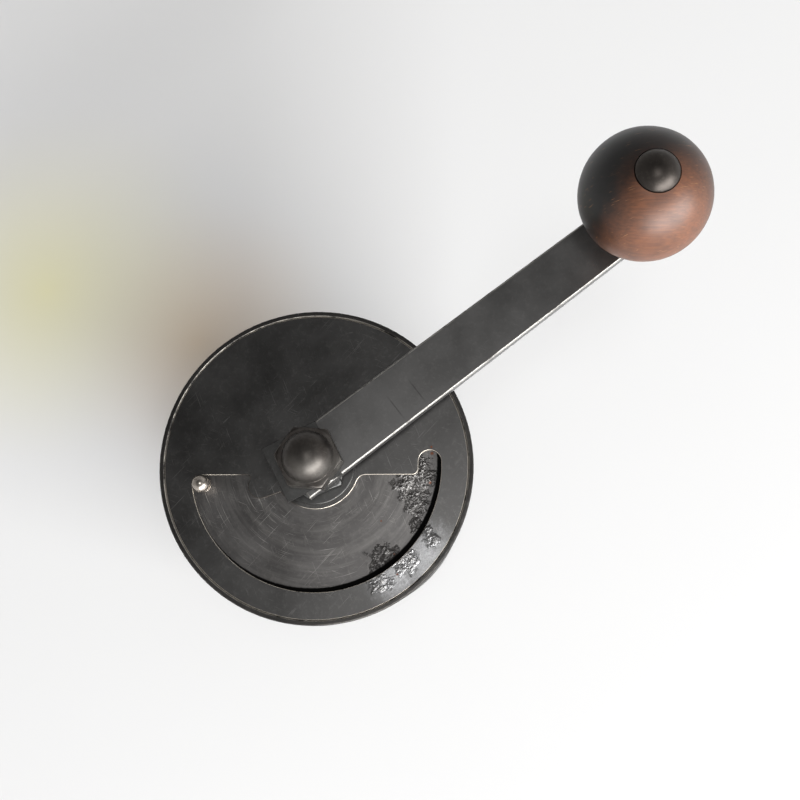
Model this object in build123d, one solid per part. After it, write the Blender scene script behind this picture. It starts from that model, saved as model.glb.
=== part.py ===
from build123d import *
import os
from math import atan2, cos, degrees, hypot, radians, sin, sqrt, tan

# Hand crank coffee grinder with a round steel body, a conical burr set and a grounds drawer.
# Millimetres. +Z up, the drawer faces -Y, the origin is on the spindle axis where the base stands.

# ---- driving dimensions -------------------------------------------------------------------

# body tube
body_radius = 48.3
body_wall = 1.6
rim_height = 140.0
floor_gap = 0.8
rim_rounding = 0.6

# how far a cutter, or a blank that is joined on, runs past the face it meets
overrun = 1.0

# base
felt_thickness = 2.0
felt_inner_radius = 30.0
base_thickness = 1.5
base_flange_height = 3.0
base_screw_rise = 0.2
flange_wall = 1.4
push_fit = 0.05

# flush slotted screws in the body wall
screw_radius = 1.5
screw_head_radius = 2.7
screw_head_depth = 1.1
screw_head_inset = 0.1
screw_length = 5.0
ledge_screw_length = 3.2
slot_width = 0.7
slot_depth = 0.5
wall_screw_angles = (90, 210, 330)

# drawer
bay_width = 58.0
bay_bottom = 7.0
bay_top = 43.0
bay_clearance = 0.6
drawer_wall = 1.0
drawer_top_clearance = 2.0
drawer_back_clearance = 3.0
drawer_lift = 0.5
front_lip = 3.0
front_thickness = 1.5
front_seat_gap = 0.3
front_join = 0.1
drawer_knob_height = 25.0
drawer_knob_radius = 8.0
drawer_knob_neck_radius = 4.5
drawer_knob_length = 16.0
drawer_knob_cut_depth = 5.6
drawer_knob_foot_lip = 1.0
drawer_knob_foot_height = 1.2
drawer_screw_radius = 1.6
drawer_screw_head_radius = 3.4
drawer_screw_head_height = 1.6
drawer_screw_seat_gap = 0.15
runner_sheet = 1.2
runner_shelf = 5.0
runner_foot = 3.5
runner_end_clearance = 4.6
runner_height = 14.0
runner_clearance = 0.5
shelf_clearance = 0.3

# deck that carries the burr set
deck_height = 50.0
deck_thickness = 1.6
deck_flange_height = 6.0
deck_hole_radius = 21.0

# lower bearing
lower_bar_width = 16.0
lower_bar_thickness = 4.0
lower_bar_half_length = 34.0
lower_boss_radius = 10.0
lower_boss_drop = 3.0
lower_bush_wall = 2.5
lower_screw_offset = 28.0
lower_screw_radius = 2.0
lower_screw_head_radius = 3.8
lower_screw_head_height = 2.0

# spindle
spindle_radius = 5.0
journal_radius = 6.0
running_fit = 0.05
spindle_foot_gap = 0.5
journal_start_drop = 4.0
key_flat_depth = 0.8
square_size = 8.5
square_turned_radius = 5.4
stud_radius = 5.0
stud_length = 10.5
spindle_lift = 0.75
lift_reserve = 0.25

# burr set
ring_radius = 29.0
ring_height = 30.0
ring_flange_radius = 36.0
ring_flange_height = 4.4
ring_mouth_radius = 22.2
ring_seat_depth = 1.0
ring_screw_count = 3
ring_screw_circle = 32.5
ring_screw_radius = 2.0
ring_screw_head_radius = 3.4
ring_screw_head_height = 2.8
cone_radius = 19.0
cone_rise = 1.5
cone_edge_height = 5.5
cone_edge_radius = 17.6
cone_waist_height = 12.5
cone_waist_radius = 14.5
cone_height = 26.5
cone_top_radius = 9.5
cone_neck_radius = 8.5
cone_neck_height = 6.0
grind_gap = 0.55
tooth_count = 20
tooth_groove = 1.5
cone_groove_start_drop = 2.0
ring_groove_start_drop = 5.0
cone_tooth_skew = 22.0
ring_tooth_skew = -12.0
cross_pin_radius = 1.5

# hopper
hopper_sheet = 1.0
hopper_neck_height = 4.0
hopper_shoulder_drop = 3.0
hopper_flange_gap = 0.15
ledge_wall = 1.6
ledge_height = 4.0
ledge_clearance = 0.3

# lid, shutter and the frame beneath them
lid_recess = 0.2
lid_thickness = 1.2
lid_edge_gap = 0.1
shutter_thickness = 1.0
shutter_gap = 0.3
shutter_radius = 40.6
shutter_hub_radius = 15.0
shutter_closed_from = -97.0
shutter_closed_to = 100.0
spacer_inner_radius = 41.2
spider_thickness = 2.0
spider_ring_inner_radius = 42.0
spider_bar_width = 22.0
spider_hub_radius = 16.0

# feed opening in the lid
opening_radius = 38.4
opening_edge = 3.0
opening_hub_radius = 13.5
opening_end_radius = 3.0
opening_shoulder_radius = 3.0
knob_slot_width = 7.0
knob_slot_start_angle = 80.0
knob_slot_end_angle = 91.6
knob_slot_corner_radius = 1.8
tongue_tip_x = 6.4
tongue_tip_y = -16.9
tongue_root_x = 2.0
tongue_root_y = -4.5
tongue_width = 7.6
tongue_corner_radius = 1.0

# shutter knob
knob_track_radius = 35.0
knob_closed_angle = -80.2
shutter_ball_radius = 2.7
shutter_ball_height = 4.2
shutter_stem_radius = 1.3
shutter_collar_radius = 2.2
shutter_collar_height = 0.8
shutter_rivet_radius = 2.4
shutter_rivet_height = 0.25

# upper bearing
housing_flange_radius = 12.25
housing_flange_height = 2.0
housing_barrel_radius = 10.0
housing_barrel_end = 14.0
housing_flange_rounding = 0.5
bush_wall = 1.5
ring_nut_radius = 14.0
ring_nut_height = 4.0
ring_nut_slots = 4
ring_nut_slot_width = 3.0
ring_nut_slot_depth = 1.6

# spring round the spindle
spring_washer_thickness = 1.2
spring_wire_radius = 0.7
spring_bore_gap = 0.7
spring_turns = 7
spring_end_gap = 0.2

# nuts and washers on the spindle's top
axial_gap = 0.2
keyed_washer_radius = 9.0
keyed_washer_thickness = 1.2
adjusting_nut_flats = 18.6
adjusting_nut_height = 3.8
adjusting_nut_angle = 51.4
arm_seat_gap = 0.3
square_washer_size = 17.8
square_washer_thickness = 1.2
square_washer_x = 0.4
square_washer_y = -2.6
square_washer_angle = 27.4
cap_nut_flats = 17.0
cap_nut_hex_height = 8.0
cap_nut_angle = 25.7
cap_nut_dome_radius = 7.5
cap_nut_dome_rise = 7.5
cap_nut_bore_depth = 11.5
cap_nut_chamfer_angle = 30.0

# crank arm and its knob
arm_angle = 127.2
crank_radius = 121.0
arm_thickness = 5.0
arm_hub_width = 17.7
arm_knob_width = 15.6
arm_back = 7.0
arm_chamfer = 0.4
knob_radius = 19.0
knob_washer_radius = 8.0
knob_washer_thickness = 1.7
knob_gap = 0.3
knob_flat = 0.5
knob_pin_radius = 4.0
knob_pin_clearance = 0.1
knob_pin_join = 0.5
knob_head_radius = 6.1
knob_head_clearance = 0.25
knob_head_seat_depth = 2.6
knob_head_gap = 0.3
knob_head_edge = 1.4
knob_head_dome = 3.2
pin_foot_radius = 5.5
pin_foot_height = 0.9

# ---- levels and sizes worked out from them ------------------------------------------------

inner_radius = body_radius - body_wall
fitted_radius = inner_radius - push_fit
base_floor = felt_thickness
base_top = base_floor + base_thickness
lid_top = rim_height - lid_recess
lid_bottom = lid_top - lid_thickness
shutter_top = lid_bottom - shutter_gap
shutter_bottom = shutter_top - shutter_thickness
spider_top = shutter_bottom - shutter_gap
spider_bottom = spider_top - spider_thickness
ledge_top = spider_bottom - hopper_sheet
ledge_bottom = ledge_top - ledge_height
hopper_flange_radius = fitted_radius - hopper_flange_gap
deck_top = deck_height + deck_thickness
ring_top = deck_top + ring_height
ring_seat = ring_top - ring_seat_depth
cone_bottom = deck_top + cone_rise
cone_top = cone_bottom + cone_height
neck_top = cone_top + cone_neck_height
lower_boss_bottom = deck_height - lower_bar_thickness - lower_boss_drop
lower_bush_radius = spindle_radius + running_fit + lower_bush_wall
housing_top = lid_top + housing_flange_height
housing_bottom = lid_top - housing_barrel_end
bush_bore_radius = journal_radius + running_fit
bush_radius = bush_bore_radius + bush_wall
spring_washer_bottom = housing_bottom - spring_washer_thickness
spring_coil_radius = journal_radius + spring_bore_gap + spring_wire_radius
keyed_washer_bottom = housing_top + axial_gap
keyed_washer_top = keyed_washer_bottom + keyed_washer_thickness
adjusting_nut_bottom = keyed_washer_top + axial_gap
adjusting_nut_top = adjusting_nut_bottom + adjusting_nut_height
arm_bottom = adjusting_nut_top + arm_seat_gap
arm_top = arm_bottom + arm_thickness
square_washer_top = arm_top + square_washer_thickness
cap_nut_hex_top = square_washer_top + cap_nut_hex_height
knob_base = arm_top + knob_washer_thickness + knob_gap
knob_centre = knob_base + knob_radius - knob_flat
knob_x = crank_radius * cos(radians(arm_angle))
knob_y = crank_radius * sin(radians(arm_angle))
knob_head_bottom = knob_centre + knob_radius - knob_head_seat_depth + knob_head_gap
drawer_bottom = bay_bottom + drawer_lift
drawer_rim = bay_top - drawer_top_clearance
drawer_half_width = bay_width / 2 - bay_clearance
drawer_back = sqrt(inner_radius**2 - drawer_half_width**2) - drawer_back_clearance
runner_web = drawer_half_width + runner_clearance
runner_reach = sqrt((fitted_radius - flange_wall)**2 - (runner_web + runner_foot)**2)
runner_half_length = runner_reach - runner_end_clearance
front_inner_radius = body_radius + front_seat_gap
drawer_screw_grip = front_seat_gap + front_thickness + drawer_wall + drawer_screw_seat_gap


# ---- small shapes ---------------------------------------------------------------------------

def rod(radius, bottom, top):
    return Pos(0, 0, bottom) * Cylinder(radius, top - bottom, align=(Align.CENTER, Align.CENTER, Align.MIN))


def tube(outer, inner, bottom, top):
    return rod(outer, bottom, top) - rod(inner, bottom - overrun, top + overrun)


def block(x_from, x_to, y_from, y_to, bottom, top):
    centre = Pos((x_from + x_to) / 2, (y_from + y_to) / 2, (bottom + top) / 2)
    return centre * Box(x_to - x_from, y_to - y_from, top - bottom)


def turned(*outline):
    """A solid of revolution about Z from (radius, height) corners."""
    corners = [(radius, 0, height) for radius, height in outline]
    return revolve(make_face(Polyline(*corners, close=True)), Axis.Z)


def plate(outline, bottom, top):
    return Pos(0, 0, bottom) * extrude(outline, top - bottom)


def hexagon(across_flats, bottom, top, angle):
    outline = RegularPolygon(across_flats / sqrt(3), 6)
    return Rot(0, 0, angle) * plate(outline, bottom, top)


def round_corner(outline, x, y, radius):
    """The outline with its corner nearest to x, y rounded."""
    corner = min(outline.vertices(), key=lambda vertex: hypot(vertex.X - x, vertex.Y - y))
    return fillet(corner, radius)


def write(node, *solids):
    """One STEP file for a node, holding its separate solids."""
    shape = solids[0] if len(solids) == 1 else Compound(children=list(solids))
    shape.label = node
    export_step(shape, f"parts/{node}.step")


def single(part):
    return part.solids()[0]


# ---- flush wall screws ------------------------------------------------------------------------

def wall_screw_blank(angle, height, length):
    """A countersunk screw that lies on a radius, its head flush with the body."""
    tip = body_radius - length
    head_start = body_radius - screw_head_depth
    head_face = body_radius - screw_head_inset
    outline = ((0, tip), (screw_radius, tip), (screw_radius, head_start),
               (screw_head_radius, head_face), (0, head_face))
    return Rot(0, 0, angle) * Pos(0, 0, height) * Rot(0, 90, 0) * turned(*outline)


def wall_screws(height, length=screw_length):
    half_length = screw_head_radius + overrun
    slot = block(body_radius - screw_head_inset - slot_depth, body_radius + overrun,
                 -half_length, half_length, height - slot_width / 2, height + slot_width / 2)
    blanks = [(angle, wall_screw_blank(angle, height, length)) for angle in wall_screw_angles]
    return [single(blank - Rot(0, 0, angle) * slot) for angle, blank in blanks]


base_screw_height = base_top + base_flange_height / 2 + base_screw_rise
deck_screw_height = deck_height - deck_flange_height / 2
ledge_screw_height = (ledge_bottom + ledge_top) / 2


def wall_screw_holes(*heights):
    places = [(angle, height) for height in heights for angle in wall_screw_angles]
    return [wall_screw_blank(angle, height, screw_length) for angle, height in places]


# ---- casing -----------------------------------------------------------------------------------

def body_shell():
    shell = tube(body_radius, inner_radius, floor_gap, rim_height)
    rim = shell.edges().filter_by(GeomType.CIRCLE).group_by(Axis.Z)[-1]
    shell = fillet(rim.sort_by(SortBy.RADIUS)[-1], rim_rounding)
    bay = block(-bay_width / 2, bay_width / 2, -body_radius - overrun, 0, bay_bottom, bay_top)
    shell -= bay
    return shell - wall_screw_holes(base_screw_height, deck_screw_height, ledge_screw_height)


def base_plate():
    plate_disc = rod(fitted_radius, base_floor, base_top)
    flange = tube(fitted_radius, fitted_radius - flange_wall, base_top, base_top + base_flange_height)
    return plate_disc + flange - wall_screw_holes(base_screw_height)


def base_felt():
    return tube(fitted_radius, felt_inner_radius, 0, felt_thickness)


def burr_deck():
    disc = rod(fitted_radius, deck_height, deck_top)
    flange = tube(fitted_radius, fitted_radius - flange_wall, deck_height - deck_flange_height, deck_height)
    deck = disc + flange - rod(deck_hole_radius, deck_height - overrun, deck_top + overrun)
    deck -= ring_screw_shanks() + lower_screw_shanks()
    return deck - wall_screw_holes(deck_screw_height)


def hopper_ledge():
    ring = tube(fitted_radius, fitted_radius - ledge_wall, ledge_bottom, ledge_top)
    return ring - wall_screw_holes(ledge_screw_height)


# ---- lower bearing ------------------------------------------------------------------------------

def lower_screw_shanks():
    shank = rod(lower_screw_radius, deck_height - lower_bar_thickness, deck_top)
    return [Pos(0, side * lower_screw_offset, 0) * shank for side in (-1, 1)]


def lower_bearing_bar():
    bottom = deck_height - lower_bar_thickness
    bar = block(-lower_bar_width / 2, lower_bar_width / 2, -lower_bar_half_length, lower_bar_half_length,
                bottom, deck_height)
    bar = bar + rod(lower_boss_radius, lower_boss_bottom, deck_height)
    bar -= rod(lower_bush_radius, lower_boss_bottom - overrun, deck_height + overrun)
    return bar - lower_screw_shanks()


def lower_bush():
    return tube(lower_bush_radius, spindle_radius + running_fit, lower_boss_bottom, deck_height)


def lower_bar_screws():
    head_top = deck_height - lower_bar_thickness
    head_bottom = head_top - lower_screw_head_height
    screws = []
    for shank, side in zip(lower_screw_shanks(), (-1, 1)):
        head = Pos(0, side * lower_screw_offset, 0) * rod(lower_screw_head_radius, head_bottom, head_top)
        slot = block(-lower_screw_head_radius, lower_screw_head_radius, -slot_width / 2, slot_width / 2,
                     head_bottom, head_bottom + slot_depth)
        screws.append(single(shank + head - Pos(0, side * lower_screw_offset, 0) * slot))
    return screws


# ---- burr set ---------------------------------------------------------------------------------

def groove(inner_point, outer_point, skew, angle):
    """A V groove cutter laid along a slanted line of a cone, turned by skew about the surface."""
    (radius_low, low), (radius_high, high) = inner_point, outer_point
    length = hypot(radius_high - radius_low, high - low)
    slope = degrees(atan2(radius_high - radius_low, high - low))
    bar = Rot(0, 0, 45) * Box(tooth_groove, tooth_groove, length)
    middle = Pos((radius_low + radius_high) / 2, 0, (low + high) / 2)
    return Rot(0, 0, angle) * middle * Rot(0, slope, 0) * Rot(skew, 0, 0) * bar


def cone_burr():
    cone = turned((spindle_radius, cone_bottom), (cone_radius, cone_bottom),
                  (cone_edge_radius, cone_bottom + cone_edge_height),
                  (cone_waist_radius, cone_bottom + cone_waist_height),
                  (cone_top_radius, cone_top), (cone_neck_radius, cone_top),
                  (cone_neck_radius, neck_top), (spindle_radius, neck_top))
    low = (cone_radius, cone_bottom - cone_groove_start_drop)
    high = (cone_top_radius, cone_top + overrun)
    step = 360 / tooth_count
    cone -= [groove(low, high, cone_tooth_skew, step * index) for index in range(tooth_count)]
    return cone - cross_pin_blank()


def ring_screw_shanks():
    top = deck_top + ring_flange_height
    step = 360 / ring_screw_count
    shank = Pos(ring_screw_circle, 0, 0) * rod(ring_screw_radius, deck_height - overrun, top)
    return [Rot(0, 0, step * index) * shank for index in range(ring_screw_count)]


def ring_burr():
    edge = cone_bottom + cone_edge_height
    foot = cone_radius + (cone_radius - cone_edge_radius) * cone_rise / cone_edge_height
    seat_radius = ring_mouth_radius + hopper_sheet + push_fit
    ring = turned((foot + grind_gap, deck_top), (ring_flange_radius, deck_top),
                  (ring_flange_radius, deck_top + ring_flange_height),
                  (ring_radius, deck_top + ring_flange_height), (ring_radius, ring_top),
                  (seat_radius, ring_top), (seat_radius, ring_seat), (ring_mouth_radius, ring_seat),
                  (cone_edge_radius + grind_gap, edge))
    low = (cone_edge_radius + grind_gap, edge - ring_groove_start_drop)
    high = (ring_mouth_radius, ring_seat)
    step = 360 / tooth_count
    ring -= [groove(low, high, ring_tooth_skew, step * index) for index in range(tooth_count)]
    return ring - ring_screw_shanks()


def ring_burr_screws():
    top = deck_top + ring_flange_height
    step = 360 / ring_screw_count
    screws = []
    for index, shank in enumerate(ring_screw_shanks()):
        head = Pos(ring_screw_circle, 0, 0) * rod(ring_screw_head_radius, top, top + ring_screw_head_height)
        slot = Pos(ring_screw_circle, 0, 0) * block(-ring_screw_head_radius, ring_screw_head_radius,
                                                    -slot_width / 2, slot_width / 2,
                                                    top + ring_screw_head_height - slot_depth,
                                                    top + ring_screw_head_height + overrun)
        turn = Rot(0, 0, step * index)
        screws.append(single(shank + turn * (head - slot)))
    return screws


def cross_pin_blank():
    height = cone_top + cone_neck_height / 2
    return Pos(0, 0, height) * Rot(0, 90, 0) * Cylinder(cross_pin_radius, 2 * cone_neck_radius)


def hopper_funnel():
    shoulder = ledge_top - hopper_shoulder_drop
    outer = fitted_radius - ledge_wall - ledge_clearance
    neck = ring_mouth_radius + hopper_sheet
    neck_end = ring_seat + hopper_neck_height
    return turned((hopper_flange_radius, ledge_top), (outer, ledge_top), (outer, shoulder), (neck, neck_end),
                  (neck, ring_seat), (ring_mouth_radius, ring_seat),
                  (ring_mouth_radius, neck_end + hopper_sheet / 2),
                  (outer - hopper_sheet, shoulder + hopper_sheet / 2),
                  (outer - hopper_sheet, spider_bottom), (hopper_flange_radius, spider_bottom))


# ---- lid, shutter and their frame -------------------------------------------------------------

def feed_opening():
    """Half-round opening with a slot for the knob, round the hub and its locating tongue."""
    beyond = Pos(opening_edge + opening_radius, 0) * Rectangle(2 * opening_radius, 3 * opening_radius)
    half = Circle(opening_radius) & beyond
    run_x = tongue_tip_x - tongue_root_x
    run_y = tongue_tip_y - tongue_root_y
    tongue = Rot(0, 0, degrees(atan2(run_y, run_x))) * SlotCenterToCenter(hypot(run_x, run_y), tongue_width)
    tongue = Pos((tongue_tip_x + tongue_root_x) / 2, (tongue_tip_y + tongue_root_y) / 2) * tongue
    slot_track = CenterArc((0, 0), opening_radius - knob_slot_width / 2, knob_slot_start_angle,
                           knob_slot_end_angle - knob_slot_start_angle)
    outline = half - Circle(opening_hub_radius) - tongue
    shoulder = sqrt(opening_hub_radius**2 - opening_edge**2)
    corner = sqrt(opening_radius**2 - opening_edge**2)
    outline = round_corner(outline, opening_edge, -corner, opening_end_radius)
    outline = round_corner(outline, opening_edge, shoulder, opening_shoulder_radius)
    outline = round_corner(outline, opening_edge, tongue_tip_y - tongue_width / 3, tongue_corner_radius)
    outline = outline + SlotArc(slot_track, knob_slot_width)
    return round_corner(outline, opening_edge, opening_radius - knob_slot_width, knob_slot_corner_radius)


def lid_plate():
    lid = plate(Circle(inner_radius - lid_edge_gap), lid_bottom, lid_top)
    lid -= plate(feed_opening(), lid_bottom - overrun, lid_top + overrun)
    return lid - rod(housing_barrel_radius, lid_bottom - overrun, lid_top + overrun)


def lid_spacer():
    return tube(fitted_radius, spacer_inner_radius, spider_top, lid_bottom)


def bearing_spider():
    ring = tube(fitted_radius, spider_ring_inner_radius, spider_bottom, spider_top)
    bar = block(-spider_bar_width / 2, spider_bar_width / 2, -body_radius, body_radius,
                spider_bottom, spider_top)
    bar = bar & rod(fitted_radius, spider_bottom, spider_top)
    hub = rod(spider_hub_radius, spider_bottom, spider_top)
    return ring + bar + hub - rod(housing_barrel_radius, spider_bottom - overrun, spider_top + overrun)


def shutter_disc():
    reach = 3 * shutter_radius
    start = radians(shutter_closed_to)
    end = radians(shutter_closed_from + 360)
    middle = (start + end) / 2
    rays = [(reach * cos(angle), reach * sin(angle)) for angle in (start, middle, end)]
    open_side = make_face(Polyline((0, 0), *rays, close=True))
    outline = Circle(shutter_radius) - open_side + Circle(shutter_hub_radius)
    outline -= Circle(housing_barrel_radius + 2 * running_fit)
    disc = plate(outline, shutter_bottom, shutter_top)
    stem_hole = rod(shutter_stem_radius, shutter_bottom - overrun, shutter_top + overrun)
    return disc - at_shutter_knob() * stem_hole


def at_shutter_knob():
    angle = radians(knob_closed_angle)
    return Pos(knob_track_radius * cos(angle), knob_track_radius * sin(angle), 0)


def shutter_knob():
    centre = lid_top + shutter_ball_height
    knob = rod(shutter_stem_radius, shutter_bottom, centre)
    knob += rod(shutter_rivet_radius, shutter_bottom - shutter_rivet_height / 2, shutter_bottom)
    knob += rod(shutter_collar_radius, shutter_top, shutter_top + shutter_collar_height)
    knob += Pos(0, 0, centre) * Sphere(shutter_ball_radius)
    return at_shutter_knob() * knob


# ---- upper bearing ----------------------------------------------------------------------------

def bearing_housing():
    housing = rod(housing_barrel_radius, housing_bottom, lid_top + overrun)
    housing += rod(housing_flange_radius, lid_top, housing_top)
    rim = housing.edges().filter_by(GeomType.CIRCLE).group_by(Axis.Z)[-1]
    housing = fillet(rim, housing_flange_rounding)
    return housing - rod(bush_radius, housing_bottom - overrun, housing_top + overrun)


def upper_bush():
    return tube(bush_radius, bush_bore_radius, housing_bottom, housing_top)


def housing_ring_nut():
    bottom = spider_bottom - ring_nut_height
    nut = tube(ring_nut_radius, housing_barrel_radius, bottom, spider_bottom)
    slot = block(ring_nut_radius - ring_nut_slot_depth, ring_nut_radius + overrun,
                 -ring_nut_slot_width / 2, ring_nut_slot_width / 2,
                 bottom - overrun, spider_bottom + overrun)
    step = 360 / ring_nut_slots
    return nut - [Rot(0, 0, step * index) * slot for index in range(ring_nut_slots)]


def spring_washer():
    return tube(housing_barrel_radius, journal_radius + 4 * running_fit, spring_washer_bottom, housing_bottom)


def load_spring():
    bottom = neck_top + spring_wire_radius
    top = spring_washer_bottom - spring_end_gap - spring_wire_radius
    coil = Helix((top - bottom) / spring_turns, top - bottom, spring_coil_radius)
    section = Plane(coil @ 0, z_dir=coil % 0) * Circle(spring_wire_radius)
    return Pos(0, 0, bottom) * sweep(section, path=coil, is_frenet=True)


# ---- spindle, arm and nuts --------------------------------------------------------------------

def drive_spindle():
    foot = lower_boss_bottom + spindle_foot_gap
    step = spring_washer_bottom - journal_start_drop
    spindle = rod(spindle_radius, foot, step) + rod(journal_radius, step, arm_bottom)
    keep = journal_radius - key_flat_depth
    spindle -= block(keep, journal_radius + overrun, -journal_radius, journal_radius,
                     keyed_washer_bottom - spindle_lift - lift_reserve, arm_bottom)
    square = block(-square_size / 2, square_size / 2, -square_size / 2, square_size / 2, arm_bottom, arm_top)
    square = Rot(0, 0, arm_angle) * square & rod(square_turned_radius, arm_bottom, arm_top)
    spindle = spindle + square + rod(stud_radius, arm_top, arm_top + stud_length)
    return spindle - cross_pin_blank()


def keyed_washer():
    bore = rod(journal_radius + running_fit, keyed_washer_bottom - overrun, keyed_washer_top + overrun)
    keep = journal_radius - key_flat_depth + running_fit
    bore -= block(keep, 2 * journal_radius, -journal_radius, journal_radius,
                  keyed_washer_bottom - 2 * overrun, keyed_washer_top + 2 * overrun)
    return rod(keyed_washer_radius, keyed_washer_bottom, keyed_washer_top) - bore


def adjusting_nut():
    nut = hexagon(adjusting_nut_flats, adjusting_nut_bottom, adjusting_nut_top, adjusting_nut_angle)
    nut &= chamfer_cone(adjusting_nut_flats, adjusting_nut_bottom, adjusting_nut_top)
    bore = rod(journal_radius + running_fit, adjusting_nut_bottom - overrun, adjusting_nut_top + overrun)
    return nut - bore


def chamfer_cone(across_flats, bottom, top):
    """The turned envelope that chamfers a nut's corners at both ends."""
    corner = across_flats / sqrt(3)
    flat = across_flats / 2
    drop = (corner - flat) * tan(radians(cap_nut_chamfer_angle))
    return turned((0, bottom), (flat, bottom), (corner, bottom + drop),
                  (corner, top - drop), (flat, top), (0, top))


def crank_arm():
    half_hub = arm_hub_width / 2
    half_knob = arm_knob_width / 2
    outline = make_face(Polyline((-arm_back, -half_hub), (crank_radius, -half_knob),
                                 (crank_radius, half_knob), (-arm_back, half_hub), close=True))
    outline += Pos(crank_radius, 0) * Circle(half_knob)
    outline -= Pos(crank_radius, 0) * Circle(knob_pin_radius)
    square = Rectangle(square_size, square_size) & Circle(square_turned_radius)
    arm = plate(outline - square, arm_bottom, arm_top)
    rim = arm.faces().sort_by(Axis.Z)[-1].outer_wire().edges()
    return Rot(0, 0, arm_angle) * chamfer(rim, arm_chamfer)


def square_washer():
    washer = Rot(0, 0, square_washer_angle) * Rectangle(square_washer_size, square_washer_size)
    washer = Pos(square_washer_x, square_washer_y) * washer
    return plate(washer - Circle(stud_radius), arm_top, square_washer_top)


def cap_nut():
    corner = cap_nut_flats / sqrt(3)
    nut = hexagon(cap_nut_flats, square_washer_top, cap_nut_hex_top, cap_nut_angle)
    nut &= chamfer_cone(cap_nut_flats, square_washer_top, cap_nut_hex_top)
    dome_foot = cap_nut_hex_top - overrun
    dome_centre = cap_nut_hex_top + cap_nut_dome_rise - cap_nut_dome_radius
    dome = Pos(0, 0, dome_centre) * Sphere(cap_nut_dome_radius)
    dome &= rod(corner, dome_foot, cap_nut_hex_top + cap_nut_dome_rise + overrun)
    bore = rod(stud_radius, square_washer_top - overrun, square_washer_top + cap_nut_bore_depth)
    return nut + dome - bore


# ---- crank knob -------------------------------------------------------------------------------

def at_knob():
    return Pos(knob_x, knob_y, 0)


def knob_ball():
    ball = Pos(0, 0, knob_centre) * Sphere(knob_radius)
    ball -= rod(knob_radius, knob_base - knob_radius, knob_base)
    above = knob_centre + knob_radius + overrun
    ball -= rod(knob_pin_radius + knob_pin_clearance, knob_base - overrun, above)
    seat = knob_centre + knob_radius - knob_head_seat_depth
    ball -= rod(knob_head_radius + knob_head_clearance, seat, above)
    return at_knob() * ball


def knob_washer():
    return at_knob() * tube(knob_washer_radius, knob_pin_radius, arm_top, arm_top + knob_washer_thickness)


def knob_pin():
    pin = rod(knob_pin_radius, arm_bottom, knob_head_bottom + knob_pin_join)
    pin += rod(pin_foot_radius, arm_bottom - pin_foot_height, arm_bottom)
    edge_top = knob_head_bottom + knob_head_edge
    pin += rod(knob_head_radius, knob_head_bottom, edge_top)
    dome_radius = (knob_head_radius**2 + knob_head_dome**2) / (2 * knob_head_dome)
    dome = Pos(0, 0, edge_top + knob_head_dome - dome_radius) * Sphere(dome_radius)
    pin += dome & rod(knob_head_radius, edge_top - knob_pin_join, edge_top + knob_head_dome + overrun)
    return at_knob() * pin


# ---- drawer -----------------------------------------------------------------------------------

def drawer_outline(half_width, radius, back):
    return Pos(0, back / 2 - body_radius / 2) * Rectangle(2 * half_width, back + body_radius) & Circle(radius)


def drawer_box():
    outer = drawer_outline(drawer_half_width, body_radius, drawer_back)
    inner = drawer_outline(drawer_half_width - drawer_wall, body_radius - drawer_wall,
                           drawer_back - drawer_wall)
    box = plate(outer, drawer_bottom, drawer_rim)
    box -= plate(inner, drawer_bottom + drawer_wall, drawer_rim + overrun)
    return box - drawer_screw_blank()


def drawer_front():
    reach = bay_width / 2 + front_lip
    bottom = bay_bottom - front_lip
    top = bay_top + front_lip
    panel = tube(front_inner_radius + front_thickness, front_inner_radius, bottom, top)
    panel &= block(-reach, reach, -2 * body_radius, 0, bottom, top)
    filler = tube(front_inner_radius + front_join, body_radius, drawer_bottom, drawer_rim)
    filler &= block(-drawer_half_width, drawer_half_width, -2 * body_radius, 0, drawer_bottom, drawer_rim)
    return panel + filler - drawer_screw_blank()


def on_drawer_axis():
    """Turns +Z to -Y at the drawer knob's height, with the front's outer face at zero."""
    return Pos(0, -front_inner_radius - front_thickness, drawer_knob_height) * Rot(90, 0, 0)


def drawer_screw_blank():
    return on_drawer_axis() * rod(drawer_screw_radius, -drawer_screw_grip, drawer_knob_length / 2)


def drawer_knob():
    radius = drawer_knob_radius
    ball_centre = drawer_knob_length - radius
    neck = rod(drawer_knob_neck_radius, 0, ball_centre)
    ball = Pos(0, 0, ball_centre) * Sphere(radius)
    ball &= rod(radius, ball_centre - drawer_knob_cut_depth, drawer_knob_length)
    foot = rod(drawer_knob_neck_radius + drawer_knob_foot_lip, 0, drawer_knob_foot_height)
    knob = neck + ball + foot
    return on_drawer_axis() * (knob - rod(drawer_screw_radius, -overrun, drawer_knob_length / 2))


def drawer_screw():
    head_top = -drawer_screw_grip
    head_bottom = head_top - drawer_screw_head_height
    head = rod(drawer_screw_head_radius, head_bottom, head_top)
    slot = block(-drawer_screw_head_radius, drawer_screw_head_radius, -slot_width / 2, slot_width / 2,
                 head_bottom - overrun, head_bottom + slot_depth)
    return drawer_screw_blank() + on_drawer_axis() * (head - slot)


def drawer_runner(side):
    """A folded strip: foot on the base, web beside the drawer and shelf under its edge."""
    web = runner_web
    shelf_top = drawer_bottom - shelf_clearance
    outline = make_face(Polyline((web - runner_shelf, shelf_top),
                                 (web - runner_shelf, shelf_top - runner_sheet),
                                 (web, shelf_top - runner_sheet), (web, base_top),
                                 (web + runner_foot, base_top),
                                 (web + runner_foot, base_top + runner_sheet),
                                 (web + runner_sheet, base_top + runner_sheet),
                                 (web + runner_sheet, base_top + runner_height),
                                 (web, base_top + runner_height),
                                 (web, shelf_top), close=True))
    strip = Pos(0, runner_half_length, 0) * Rot(90, 0, 0) * extrude(outline, 2 * runner_half_length)
    return strip if side > 0 else mirror(strip, Plane.YZ)


# ---- write every node ---------------------------------------------------------------------------

os.makedirs("parts", exist_ok=True)

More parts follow.
